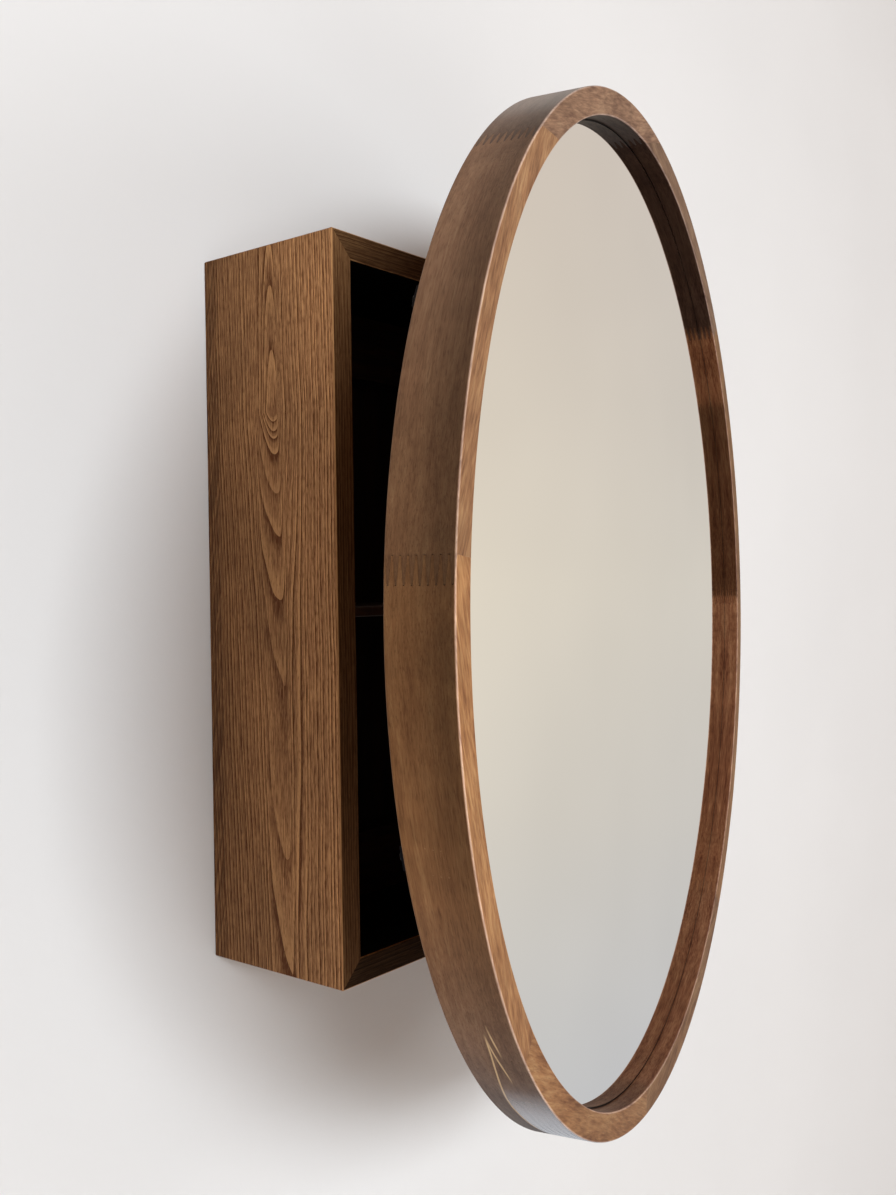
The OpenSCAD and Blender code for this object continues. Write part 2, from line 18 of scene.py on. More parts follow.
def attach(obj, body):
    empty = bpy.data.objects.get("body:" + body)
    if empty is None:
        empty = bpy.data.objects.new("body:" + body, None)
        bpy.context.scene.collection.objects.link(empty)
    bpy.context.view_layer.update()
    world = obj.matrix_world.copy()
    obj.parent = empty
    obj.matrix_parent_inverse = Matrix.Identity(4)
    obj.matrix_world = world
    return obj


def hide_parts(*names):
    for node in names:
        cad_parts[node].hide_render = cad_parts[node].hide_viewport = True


bl_info = {
    "name": "Round Mirror Cabinet",
    "version": (1, 0, 0),
    "blender": (4, 5, 0),
    "location": "3D View > Sidebar > Mirror Cabinet",
    "description": "Builds the finger-jointed ring door and finishes the cabinet behind it",
    "category": "Object",
}

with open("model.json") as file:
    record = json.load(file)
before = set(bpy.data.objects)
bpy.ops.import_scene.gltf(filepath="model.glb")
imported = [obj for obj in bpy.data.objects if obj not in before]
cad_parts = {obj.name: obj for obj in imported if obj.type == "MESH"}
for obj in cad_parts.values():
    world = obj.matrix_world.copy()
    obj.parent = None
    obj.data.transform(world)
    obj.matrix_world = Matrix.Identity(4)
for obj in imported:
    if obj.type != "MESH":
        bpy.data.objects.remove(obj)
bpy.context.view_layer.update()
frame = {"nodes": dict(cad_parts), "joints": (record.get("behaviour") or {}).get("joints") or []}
NODES = frame["nodes"]
HINGE = frame["joints"][0]
MM = 0.001
BOARD, BOX_DEPTH, BOX_HALF_HEIGHT = 18 * MM, 126 * MM, 250 * MM
SECTION = 0.45  # how far the ring turns from one swept section to the next, in degrees

# Each ring joint: its angle from the right, anticlockwise seen from the front; how far it leans
# round the ring between the inner and the outer edge, in degrees; and how strongly its glue shows.
RING_JOINTS = ((1.0, 0.0, 0.25), (47.0, 0.0, 0.5), (88.0, -7.5, 0.5), (129.5, 4.2, 0.4),
               (175.5, 0.0, 0.4), (220.5, 0.0, 0.12), (265.5, 0.0, 0.3), (310.5, 0.0, 0.5))
SAPWOOD_AND_HIGHLIGHT_JOINT = 5  # the one at 220.5
# Each ring piece's plank: how bright its front, outer and inner faces are, 1 being full, and its
# colour strength, 1 being full. The faces' brightness is partly the plank's tone and partly painted
# light and shade.
RING_PLANKS = ((0.4, 0.5, 0.18, 1.1), (0.41, 0.3, 0.105, 0.9), (0.61, 0.28, 0.1, 0.87),
               (0.67, 0.41, 0.25, 1.0), (0.81, 0.43, 0.25, 1.05), (0.57, 0.38, 0.35, 1.06),
               (0.4, 0.3, 0.48, 1.05), (0.48, 0.45, 0.465, 1.08))


def linear(code):
    """sRGB hex to linear RGBA: c / 12.92 for dark channels, else ((c + 0.055) / 1.055) ^ 2.4."""
    c = np.array([int(code[i:i + 2], 16) for i in (1, 3, 5)]) / 255
    c = np.where(c <= 0.04045, c / 12.92, ((c + 0.055) / 1.055) ** 2.4)
    return (*c.tolist(), 1.0)


def mix(a, b, share):
    """Colour between a and b."""
    return tuple(x + (y - x) * share for x, y in zip(a, b))


def size(name, description, default, **more):
    return FloatProperty(name=name, description=description, default=default,
                         subtype="DISTANCE", unit="LENGTH", **more)


def colour(name, description, code):
    return FloatVectorProperty(name=name, description=description, default=linear(code),
                               subtype="COLOR", size=4, min=0, max=1)


class RingSizes(bpy.types.PropertyGroup):
    radius: size("Radius", "Outer radius of the ring", 375 * MM)
    depth: size("Depth", "From the ring's back to its front face", 39 * MM)
    face: size("Face width", "Width of the front face", 18.5 * MM)
    wall: size("Wall", "Thickness of the ring behind the lip", 10.5 * MM)
    setback: size("Glass setback", "From the front face back to the glass", 13.5 * MM)
    edge: size("Edge round", "Radius of the softened edges", 1.2 * MM)
    finger: size("Finger length", "Length of a joint's fingers", 15 * MM)
    tip: size("Finger tip", "Width of a finger's blunt tip", 0.9 * MM)
    glue: size("Glue line", "Thickness of the glue between two pieces", 0.05 * MM)
    fingers: IntProperty(name="Fingers", description="Fingers across the ring's depth", default=9)
    back: size("Back plane", "How far the ring's back lies in front of the wall", 130 * MM)
    drop: size("Drop", "Ring's centre below the middle of the box", 6.5 * MM)


class WoodColours(bpy.types.PropertyGroup):
    ash_light: colour("Ash, pale wood", "Late wood of the stained box boards", "#cb9865")
    ash_mid: colour("Ash", "Ground colour of the stained box boards", "#a2744d")
    ash_dark: colour("Ash, open grain", "Stain gathered in the open grain", "#5f361a")
    stain: colour("Stain", "Brown stain where it lies thick", "#361a04")
    # Painted shade: near-black for the inside of the box, which lies in deep shade.
    inside: colour("Inside stain", "Near-black stain inside the box", "#0b0807")
    walnut_light: colour("Walnut, pale", "Palest streaks of the ring", "#c99a6c")
    walnut_mid: colour("Walnut", "Ground colour of the ring", "#ac7b54")
    walnut_dark: colour("Walnut, dark", "Dark streaks of the ring", "#7a4f35")
    # Pale streaks: sapwood, and along the sheen's edge at the foot a painted highlight.
    sapwood_and_highlight: colour("Sapwood", "Pale streaks beside one joint", "#d9b98c")
    glue: colour("Glue line", "Dark line where two ring pieces meet", "#2c1a10")
    birch: colour("Birch ply", "Face veneer of the plywood", "#cfae83")


class FittingColours(bpy.types.PropertyGroup):
    brass: colour("Brass", "Hinges, pins and hinge screws", "#c8a25c")
    zinc: colour("Zinc", "Strike and plain screws", "#b4b8ba")
    black: colour("Black oxide", "Retaining clips and their screws", "#171618")
    steel: colour("Steel", "Shelf pins and catch poles", "#a9a7a2")
    silver: colour("Mirror silver", "Silvering behind the glass", "#f0efec")
    plastic: colour("Nylon", "Catch housing", "#4a3526")
    rubber: colour("Rubber", "Door bumpers", "#171716")
    foam: colour("Foam", "Tape behind the mirror", "#26272a")
    ferrite: colour("Ferrite", "Catch magnet", "#2b2b2d")
    # Painted shade: the dark line round the mirror's rim.
    painted_rim_shade: colour("Mirror rim", "Rebate seen through the glass's edge", "#120c09")


class StageSettings(bpy.types.PropertyGroup):
    wall: colour("Wall", "Painted wall and floor", "#e8e6e4")
    room_top: colour("Room, high", "What the mirror sees above", "#dbcfc4")
    room_mid: colour("Room, level", "What the mirror sees straight across", "#e4dccf")
    room_low: colour("Room, low", "What the mirror sees below", "#cccdd0")
    ambient: colour("Ambient", "Warm light from the rest of the room", "#806144")
    lamplight: colour("Lamplight", "Both soft lamps", "#ecf5fc")
    key: FloatProperty(name="Key lamp", description="Power of the large lamp in front", default=158,
                       unit="POWER")
    fill: FloatProperty(name="Fill lamp", description="Power of the lamp on the right", default=34,
                        unit="POWER")
    away: size("Lamp distance", "How far off both lamps stand", 4.2)
    lens: FloatProperty(name="Lens", description="Focal length", default=34.908, unit="CAMERA")
    place: FloatVectorProperty(name="Camera", description="Where the camera stands",
                               default=(-0.77974, -0.65095, 0.01537), subtype="XYZ",
                               unit="LENGTH")
    yaw: FloatProperty(name="Yaw", description="Heading from the right towards the wall",
                       default=math.radians(38.214), subtype="ANGLE", unit="ROTATION")
    pitch: FloatProperty(name="Pitch", description="Tilt above level",
                         default=math.radians(-0.600), subtype="ANGLE", unit="ROTATION")
    roll: FloatProperty(name="Roll", description="Turn about the line of sight",
                        default=math.radians(-0.797), subtype="ANGLE", unit="ROTATION")


def plug(socket, value):
    """Links a node or an output to a socket, or sets the socket to a value."""
    if isinstance(value, bpy.types.Node):
        value = next(s for s in value.outputs if s.enabled)
    if isinstance(value, bpy.types.NodeSocket):
        socket.id_data.links.new(value, socket)
    else:
        socket.default_value = value[:3] if socket.type == "VECTOR" else value


def add(tree, kind, inputs=None, stops=None, **settings):
    """Adds one node. inputs maps a live input's name or number to a value, or to the node or
    output that feeds it; a tuple fills the live inputs in their order. stops are a colour ramp's
    (place, colour) pairs, lowest first."""
    made = tree.nodes.new("ShaderNode" + kind)
    for name, value in settings.items():
        setattr(made, name, value)
    if stops:
        ends = made.color_ramp.elements
        ends[0].position, ends[0].color = stops[0]
        ends[1].position, ends[1].color = stops[-1]
        for place, value in stops[1:-1]:
            ends.new(place).color = value
    live = [s for s in made.inputs if s.enabled]
    for key, value in inputs.items() if isinstance(inputs, dict) else enumerate(inputs or ()):
        plug(live[key] if isinstance(key, int) else next(s for s in live if s.name == key), value)
    return made


def material(name):
    """A new material with a bare Principled shader. Returns it, add() on its tree, its shader."""
    made = bpy.data.materials.new(name)
    made.use_nodes = True
    tree = made.node_tree
    shader = next(n for n in tree.nodes if n.type == "BSDF_PRINCIPLED")
    return made, partial(add, tree), shader


def feed(shader, **inputs):
    """Sets or links the shader's sockets; an underscore stands for a space in a socket's name."""
    for key, value in inputs.items():
        plug(shader.inputs[key.replace("_", " ")], value)


def stained_ash(name, woods, turned, face, centre, peak, phase, edge):
    """Ash veneer, brown stain under satin lacquer, cut flat so that a flame of growth rings runs up
    the board. Each ring opens dark and porous and ends in a thin pale line. The front edges are
    darker, partly where the stain soaks in and partly painted shade, and their worn arrises carry a
    painted highlight.

    The rings are the radius sqrt(w^2 + d^2): w is the distance across from the flame's middle, and
    d^2 grows down from the flame's peak, half as fast far below it and a sixth as fast above it,
    so that the rings end in pointed tongues. A strip along the wall has darker, slanting grain.

    A turned board lies flat. face is how far its outer face stands from the middle of the box.
    The flame's middle lies at centre and its peak at peak. phase moves the drift of the grain.
    edge is the front edge's brightness, 1 being full: stain and painted shade together."""
    made, put, shader = material(name)
    turn = (0, math.radians(-90), 0) if turned else (0, 0, 0)
    lie = put("Mapping", {"Vector": put("TexCoord").outputs["Object"], "Rotation": turn,
                          "Location": (0, -centre, -peak)})
    thick, across, along = put("SeparateXYZ", (lie,)).outputs
    depth = put("Math", (face, put("Math", (thick,), operation="ABSOLUTE")), operation="SUBTRACT")
    # Slow drift of the grain, 200 mm long and 70 mm wide; fibres 18 mm long and pores 5 mm long,
    # both 0.7 mm wide, coarser than real ones so that they show; clouds 110 mm long and 45 mm wide.
    drift, fibres, pores, cloud = (
        put("TexNoise", {"Vector": put("Mapping", {"Vector": lie, "Location": place,
                                                   "Scale": scale}),
                         "Scale": 1.0, "Detail": detail, "Roughness": rough})
        for place, scale, detail, rough in (
            ((phase, phase, phase), (14, 14, 5), 2.0, 0.5),
            ((0, 0, 0), (1400, 1400, 55), 2.0, 0.7), ((0, 0, 0), (1400, 1400, 200), 1.0, 0.5),
            ((3 * phase, 0, 0), (22, 22, 9), 2.0, 0.5)))
    # Across the flame the rings lie wide apart, then crowd together: 14 to 22 mm behind its
    # middle and 3 to 11 mm before it.
    skew = put("Math", (along, -0.02, across), operation="MULTIPLY_ADD")
    behind = put("MapRange", (skew, 14 * MM, 22 * MM, 0.0, 6 * MM),
                 interpolation_type="SMOOTHSTEP")
    before = put("MapRange", (skew, -11 * MM, -3 * MM, 8 * MM, 0.0),
                 interpolation_type="SMOOTHSTEP")
    away = put("Math", (skew,), operation="ABSOLUTE")
    wide = put("Math", (away, 0.43, put("Math", (behind, before), operation="ADD")),
               operation="MULTIPLY_ADD")
    wide = put("Math", (wide, put("MapRange", (away, 20 * MM, 220 * MM, 0.0, 60 * MM))),
               operation="ADD")
    # Below the peak d^2 grows fastest over the first 128 mm.
    down = put("Math", (along, 0.0), operation="MINIMUM")
    near = put("Math", (down, -128 * MM), operation="MAXIMUM")
    below = put("Math", (near, -0.00065, put("Math", (down, -0.0007), operation="MULTIPLY")),
                operation="MULTIPLY_ADD")
    above = put("Math", (put("Math", (along, 0.0), operation="MAXIMUM"), 0.00021),
                operation="MULTIPLY")
    flank = put("Math", (above, below), operation="ADD")
    radius = put("Math", (put("Math", (wide, wide, flank), operation="MULTIPLY_ADD"),),
                 operation="SQRT")
    # The innermost tongue is plain and paler.
    tongue = put("MapRange", (radius, 2.4 * MM, 3.2 * MM, 0.1, 0.0))
    radius = put("Math", (radius, 2.3 * MM), operation="MAXIMUM")
    # Rings lie 2.2 mm apart, and in the core, up to 6.4 mm out, about half as far.
    core, ring_width = 6.4 * MM, 2.2 * MM
    tight = put("Math", (put("Math", (radius, core), operation="SUBTRACT"), 0.0),
                operation="MINIMUM")
    radius = put("Math", (radius, put("Math", (tight, 1.2, 0.85 * MM), operation="MULTIPLY_ADD")),
                 operation="ADD")
    radius = put("Math", (depth, 0.9, radius), operation="MULTIPLY_ADD")
    radius = put("Math", (drift, 0.006, radius), operation="MULTIPLY_ADD")
    ring = put("Math", (radius, 1 / ring_width), operation="MULTIPLY")
    uneven = put("TexNoise", {"W": put("Math", (ring, 0.45), operation="MULTIPLY"), "Scale": 1.0,
                              "Detail": 1.0}, noise_dimensions="1D")
    ring = put("Math", (uneven, 1.3, ring), operation="MULTIPLY_ADD")
    grown = put("Math", (ring,), operation="FRACT")
    porous = put("MapRange", (grown, 0.05, 0.4, 1.0, 0.0))
    late = put("MapRange", (grown, 0.6, 0.9, 0.0, 1.0))
    bold = put("MapRange", (put("TexNoise", {"W": ring, "Scale": 0.37, "Detail": 0.0},
                                noise_dimensions="1D"), 0.35, 0.65, 0.35, 1.0))
    # The pores break up the dark lines. The rings show less away from the flame and above it.
    # Along the board, fibres add fine light and dark streaks.
    porous = put("Math", (porous, put("MapRange", (pores, 0.4, 0.6, 0.7, 1.4))),
                 operation="MULTIPLY")
    band = put("Math", (late, 0.85, put("Math", (porous, -1.0), operation="MULTIPLY")),
               operation="MULTIPLY_ADD")
    for where, low, high, first, last in ((away, 20, 45, 0.5, 0.45), (along, 0, 30, 1.0, 0.75)):
        bold = put("Math", (bold, put("MapRange", (where, low * MM, high * MM, first, last))),
                   operation="MULTIPLY")
    fine = put("Math", (fibres, 1.6, put("Math", (tongue, 0.3), operation="SUBTRACT")),
               operation="MULTIPLY_ADD")
    tone = put("Math", (band, bold, fine), operation="MULTIPLY_ADD")
    wood = put("ValToRGB", (tone,),
               stops=((0.2, woods.ash_dark), (0.5, woods.ash_mid), (0.78, woods.ash_light)))
    pore = put("MapRange", (pores, 0.54, 0.66, 0.0, 0.45))
    wood = put("Mix", (pore, wood, woods.ash_dark), data_type="RGBA")
    wood = put("VectorMath", (wood, put("MapRange", (cloud, 0.3, 0.7, 0.84, 1.16))),
               operation="SCALE")
    # Painted shade: the wood is mixed towards the stain colour more towards the wall and towards
    # the foot, where shade falls.
    stain = put("Math", (put("MapRange", (across, -58 * MM, 68 * MM, 0.0, 0.52)),
                         put("MapRange", (along, -peak, BOX_HALF_HEIGHT - peak, 0.08, 0.0))),
                operation="ADD")
    wood = put("Mix", (stain, wood, woods.stain), data_type="RGBA")
    # The slanting grain starts 14 to 11 mm from the wall.
    strip = put("MapRange", (across, -centre - 14 * MM, -centre - 11 * MM))
    slant = put("CombineXYZ", (put("Math", (along, 0.24, across), operation="MULTIPLY_ADD"), along))
    slant = put("TexNoise", {"Vector": put("Mapping", {"Vector": slant, "Scale": (420, 11, 1)}),
                             "Scale": 1.0, "Detail": 2.0})
    strip = put("Math", (strip, put("MapRange", (slant, 0.4, 0.6, 0.0, 0.55))),
                operation="MULTIPLY")
    wood = put("Mix", (strip, wood, woods.stain), data_type="RGBA")
    # The front edge, darkened by stain and painted shade; its worn outer arris with a painted
    # highlight; and the near-black inside of the box, painted shade.
    front = -BOX_DEPTH - centre
    soaked_and_shaded = put("Mix", (0.35, wood, woods.ash_mid), data_type="RGBA")
    soaked_and_shaded = put("VectorMath", (soaked_and_shaded, edge), operation="SCALE")
    # Painted highlight on the worn outer arris.
    arris_highlight = put("Math", (put("Math", (across, front + 0.75 * MM), operation="LESS_THAN"),
                        put("MapRange", (depth, 9 * MM, 10 * MM, 0.65, 0.0))),
               operation="MULTIPLY")
    wood = put("Mix", (arris_highlight, wood, mix(woods.ash_light, woods.walnut_light, 0.3)),
               data_type="RGBA")
    wood = put("Mix", (put("Math", (across, front + 0.05 * MM), operation="LESS_THAN"), wood,
                       soaked_and_shaded), data_type="RGBA")
    # Painted shade: the inner faces of the boards are near-black.
    inside = put("Math", (depth, BOARD - 0.1 * MM), operation="GREATER_THAN")
    wood = put("Mix", (inside, wood, woods.inside), data_type="RGBA")
    rough = put("MapRange", (tone, 0.4, 0.7, 0.52, 0.44))
    bump = put("Bump", {"Height": put("Math", (tone, pore), operation="SUBTRACT"),
                        "Strength": 0.35, "Distance": 0.0003})
    feed(shader, Base_Color=wood, Roughness=rough, Normal=bump, Specular_IOR_Level=0.08)
    return made


def ring_walnut(name, woods, sizes):
    """Solid walnut, oiled and waxed. The grain lies along each piece's own plank, so it runs out
    at the ends of the curve. Fingers take the finish darker on one side of a joint.

    Reads four values laid on the mesh: plank (place in the plank), joint (distance past the nearest
    joint, depth, which end), tone (brightness, partly painted light and shade; colour strength,
    lowered by a painted sheen; polish) and mark (how far the glue shows, sapwood and painted
    highlight, calmness of the grain)."""
    made, put, shader = material(name)
    plank, joint, tone, mark = (put("Attribute", attribute_name=n).outputs["Vector"]
                                for n in ("plank", "joint", "tone", "mark"))
    past, depth, which = put("SeparateXYZ", (joint,)).outputs
    shade, strength, polish = put("SeparateXYZ", (tone,)).outputs
    glued, sap_and_highlight, calm = put("SeparateXYZ", (mark,)).outputs
    # Slow drift, about 250 mm long and 60 mm wide.
    drift = put("TexNoise", {"Vector": put("Mapping", {"Vector": plank, "Scale": (4, 16, 16)}),
                             "Scale": 1.0, "Detail": 2.0})
    bent = put("VectorMath", (drift.outputs["Color"], (0.0, 0.02, 0.02), plank),
               operation="MULTIPLY_ADD")
    # Streaks 110 mm long, 5 mm wide on the walls and 14 mm on the face; fibres 17 mm long and 1 to
    # 2 mm wide; pores 8 mm long and 0.7 mm wide; ripple across the grain, 20 mm from crest to
    # crest; mottle 11 mm long and 5 mm wide. Fibres and pores are coarser than real ones, to show.
    streaks, fibres, pores, ripple, mottle = (
        put("TexNoise", {"Vector": put("Mapping", {"Vector": where, "Scale": scale}),
                         "Scale": 1.0, "Detail": detail, "Roughness": 0.6})
        for where, scale, detail in ((bent, (9, 220, 70), 3.0), (bent, (60, 1100, 550), 2.0),
                                     (plank, (120, 1400, 1400), 1.0), (plank, (48, 14, 14), 1.0),
                                     (plank, (90, 190, 190), 2.0)))
    level = put("Math", (fibres, 0.5, put("Math", (streaks, 0.5), operation="MULTIPLY")),
                operation="MULTIPLY_ADD")
    level = put("Mix", (calm, level, 0.5))
    wood = put("ValToRGB", (level,),
               stops=((0.34, woods.walnut_dark), (0.5, woods.walnut_mid),
                      (0.66, woods.walnut_light)))
    pore = put("MapRange", (pores, 0.56, 0.68, 0.0, 0.4))
    wood = put("Mix", (pore, wood, woods.walnut_dark), data_type="RGBA")
    for uneven, low, high in ((ripple, 0.93, 1.07), (mottle, 0.92, 1.08)):
        shade = put("Math", (shade, put("MapRange", (uneven, 0.3, 0.7, low, high))),
                    operation="MULTIPLY")
    # The joint's line waits at each tip and crosses by the finger length between tips.
    pitch = sizes.depth / sizes.fingers
    slope = sizes.finger / (pitch / 2 - sizes.tip)
    wave = put("Math", (put("Math", (depth, sizes.tip / 2), operation="SUBTRACT"), pitch / 2),
               operation="PINGPONG")
    wave = put("Math", (wave, slope, -slope * pitch / 4), operation="MULTIPLY_ADD")
    wave = put("Clamp", (wave, -sizes.finger / 2, sizes.finger / 2))
    off = put("Math", (past, put("Math", (wave, which), operation="MULTIPLY")),
              operation="SUBTRACT")
    line = put("MapRange", (put("Math", (off,), operation="ABSOLUTE"), 0.15 * MM * slope,
                            0.5 * MM * slope, 0.22, 0.0))
    near = put("MapRange", (past, sizes.finger / 2 - 0.5 * MM, sizes.finger / 2 + 0.8 * MM,
                            1.0, 0.0))
    # The fingers of the piece that ends here soak up finish, most at their tips.
    end = put("MapRange", (past, -sizes.finger / 2, sizes.finger / 2, 0.65, 0.25))
    end = put("Math", (end, put("MapRange", (which, -1.0, 1.0, 1.0, -0.18))),
              operation="MULTIPLY")
    line = put("Math", (near, put("Math", (line, end), operation="ADD")), operation="MULTIPLY")
    wood = put("Mix", (put("Math", (line, glued), operation="MULTIPLY"), wood, woods.glue),
               data_type="RGBA", clamp_factor=False)
    # Redder inside the ring, where polish is below nought.
    wood = put("HueSaturation", {"Color": wood, "Saturation": strength, "Value": shade,
                                 "Hue": put("MapRange", (polish, -0.09, 0.0, 0.4875, 0.5))})
    # Three thin pale streaks, 1 mm wide, sweep across the joint that has them: sapwood, and the
    # first, where it runs along the edge of the polish at the foot, also a painted highlight. Each
    # runs from start to stop, and its depth goes from first, at start, to last, at reach, in
    # millimetres.
    along = put("Math", (past, which), operation="MULTIPLY")
    for start, stop, reach, first, last in ((-32, 120, 64, 20.6, 12.6),
                                            (-28, 22, 22, 20.9, 24.2), (-40, -8, -8, 23.5, 25.5)):
        rest = put("MapRange", (along, start * MM, reach * MM, first * MM, last * MM),
                   interpolation_type="SMOOTHSTEP")
        away = put("Math", (put("Math", (depth, rest), operation="SUBTRACT"),),
                   operation="ABSOLUTE")
        pale = put("Math", (sap_and_highlight, put("MapRange", (away, 0.3 * MM, 0.7 * MM, 0.75, 0.0))),
                   operation="MULTIPLY")
        for clear, full in ((start, start + 12), (stop, stop - 12)):
            pale = put("Math", (pale, put("MapRange", (along, clear * MM, full * MM))),
                       operation="MULTIPLY")
        wood = put("Mix", (pale, wood, woods.sapwood_and_highlight), data_type="RGBA")
    rough = put("Math", (put("MapRange", (level, 0.35, 0.65, 0.5, 0.42)),
                         put("MapRange", (polish, 0.0, 1.0, 1.0, 0.3))), operation="MULTIPLY")
    bump = put("Bump", {"Height": put("Math", (fibres, pore), operation="SUBTRACT"),
                        "Strength": 0.25, "Distance": 0.0002})
    feed(shader, Base_Color=wood, Roughness=rough, Normal=bump,
         Specular_IOR_Level=put("MapRange", (polish, -0.2, 1.0, 0.0, 0.5)),
         Coat_Weight=put("MapRange", (polish, 0.2, 1.0)), Coat_Roughness=0.12, Coat_IOR=2.4)
    return made


def plain_wood(name, light, dark, scale, rotation=(0, 0, 0), edge=None):
    """Sawn or veneered wood of one kind: long streaks and short fibres along its length. Scale is
    the streaks' count per metre along each axis. edge is (axis, ply thickness) for plywood, whose
    layers show as bands across its edges."""
    made, put, shader = material(name)
    where = put("TexCoord").outputs["Object"]
    lie = put("Mapping", {"Vector": where, "Rotation": rotation})
    streaks = put("TexNoise", {"Vector": put("Mapping", {"Vector": lie, "Scale": scale}),
                               "Scale": 1.0, "Detail": 3.0, "Roughness": 0.6})
    fibres = put("TexNoise", {"Vector": put("Mapping", {"Vector": lie,
                                                        "Scale": [6 * s for s in scale]}),
                              "Scale": 1.0, "Detail": 1.0})
    level = put("Math", (streaks, 0.65, put("Math", (fibres, 0.35), operation="MULTIPLY")),
                operation="MULTIPLY_ADD")
    wood = put("ValToRGB", (level,), stops=((0.32, dark), (0.62, light)))
    if edge:
        axis, ply = edge
        layer = put("Math", (put("SeparateXYZ", (lie,)).outputs[axis], ply), operation="PINGPONG")
        band = put("MapRange", (layer, 0.4 * ply, 0.6 * ply, 0.72, 1.0))
        wood = put("VectorMath", (wood, band), operation="SCALE")
    bump = put("Bump", {"Height": level, "Strength": 0.25, "Distance": 0.0002})
    feed(shader, Base_Color=wood, Normal=bump, Roughness=0.55)
    return made


def drawn_metal(name, base, rough, grit, stretch=(1, 1, 1)):
    """Rolled, drawn or plated metal, with the fine scratches of its making. Grit is the scratches'
    spacing in metres; stretch makes them long along an axis."""
    made, put, shader = material(name)
    where = put("TexCoord").outputs["Object"]
    lie = put("Mapping", {"Vector": where, "Scale": [s / grit for s in stretch]})
    marks = put("TexNoise", {"Vector": lie, "Scale": 1.0, "Detail": 2.0})
    stain = put("TexNoise", {"Vector": where, "Scale": 90.0, "Detail": 2.0})
    tint = put("MapRange", (stain, 0.3, 0.7, 0.86, 1.06))
    feed(shader, Metallic=1.0, Base_Color=put("VectorMath", (base, tint), operation="SCALE"),
         Roughness=put("MapRange", (marks, 0.3, 0.7, rough - 0.07, rough + 0.1)),
         Normal=put("Bump", {"Height": marks, "Strength": 0.15, "Distance": 0.0001}))
    return made


def moulded(name, base, rough, grain, depth=0.0002):
    """Moulded nylon, rubber, foam or sintered ferrite: a dull fine-grained skin. Grain is the
    texture's size in metres."""
    made, put, shader = material(name)
    where = put("TexCoord").outputs["Object"]
    skin = put("TexNoise", {"Vector": where, "Scale": 1 / grain, "Detail": 3.0})
    tint = put("MapRange", (skin, 0.3, 0.7, 0.8, 1.15))
    feed(shader, Base_Color=put("VectorMath", (base, tint), operation="SCALE"),
         Roughness=put("MapRange", (skin, 0.3, 0.7, rough - 0.08, rough + 0.08)),
         Normal=put("Bump", {"Height": skin, "Strength": 0.3, "Distance": depth}),
         Specular_IOR_Level=0.15)
    return made


def dress(finish, *names):
    """Puts one finish in every material slot of the named carried-over pieces."""
    for name in names:
        for slot in NODES[name].material_slots:
            slot.material = finish


def door_place(sizes):
    """The ring's own frame in the row frame. In it x runs right, y up and z out of the front
    face, from the middle of the ring's back plane. The shut ring stands off the wall by its back
    plane, then turns about the hinge by the angle at which the photographed door stands."""
    hinge = Vector(HINGE["pos_m"])
    opening = -math.radians(HINGE["range_deg"][0])
    return (Matrix.Translation(hinge) @ Matrix.Rotation(opening, 4, "Z")
            @ Matrix.Translation(-hinge) @ Matrix.Translation((0, -sizes.back, -sizes.drop))
            @ Matrix.Rotation(math.pi / 2, 4, "X"))


def finger_line(z, side, s):
    """How far round the ring the glue line stands at depth z: it waits over each blunt tip and
    crosses by the finger length in between. Half the glue's thickness is left free on each side."""
    pitch = s.depth / s.fingers
    half, out = s.finger / 2, side * s.glue / 2
    flank = pitch / 2 - s.tip
    turns = np.array([out, s.tip - out, s.tip + flank - out, 2 * s.tip + flank + out])
    turns = (np.arange(s.fingers + 1)[:, None] * pitch + turns).ravel()
    stand = np.tile([out - half, out - half, out + half, out + half], s.fingers + 1)
    return np.interp(z, turns, stand)


def ring_profile(s):
    """Outline of the ring's section as (r, z), anticlockwise from the foot of the outer wall.
    Straight sides carry a point at every turn of the finger line. Rounded corners are quarter
    circles. Returns the outline, the shared depths and where each straight side starts."""
    lip, rebate, step = s.radius - s.face, s.radius - s.wall, s.depth - s.setback
    pitch, q, top, inset = s.depth / s.fingers, s.edge, s.depth - s.edge, 1.6 * s.edge
    turns = (np.arange(s.fingers)[:, None] * pitch
             + np.array([0, s.tip, pitch / 2, pitch / 2 + s.tip])).ravel()
    turns = turns[(turns > q + 0.1 * MM) & (turns < top - 0.1 * MM)
                  & (abs(turns - step) > 0.1 * MM)]
    zs = np.sort(np.concatenate([turns, [q, step, top]]))
    bend = np.linspace(0, math.pi / 2, 6)
    low, high = zs[zs <= step][::-1], zs[zs >= step][::-1]
    runs = [
        (np.full(len(zs), s.radius), zs),
        (s.radius - q + q * np.cos(bend[1:]), top + q * np.sin(bend[1:])),
        (np.linspace(s.radius - inset, lip + inset, 5), np.full(5, s.depth)),
        (lip + q - q * np.sin(bend[:-1]), top + q * np.cos(bend[:-1])),
        (np.full(len(high), lip), high),
        (np.full(len(low), rebate), low),
        (np.array([rebate, s.radius - inset]), np.zeros(2)),
        (s.radius - q + q * np.sin(bend[:-1]), q - q * np.cos(bend[:-1])),
    ]
    starts = np.cumsum([0] + [len(r) for r, _ in runs])
    outline = np.hstack([np.stack(run) for run in runs])
    return outline, zs, step, starts


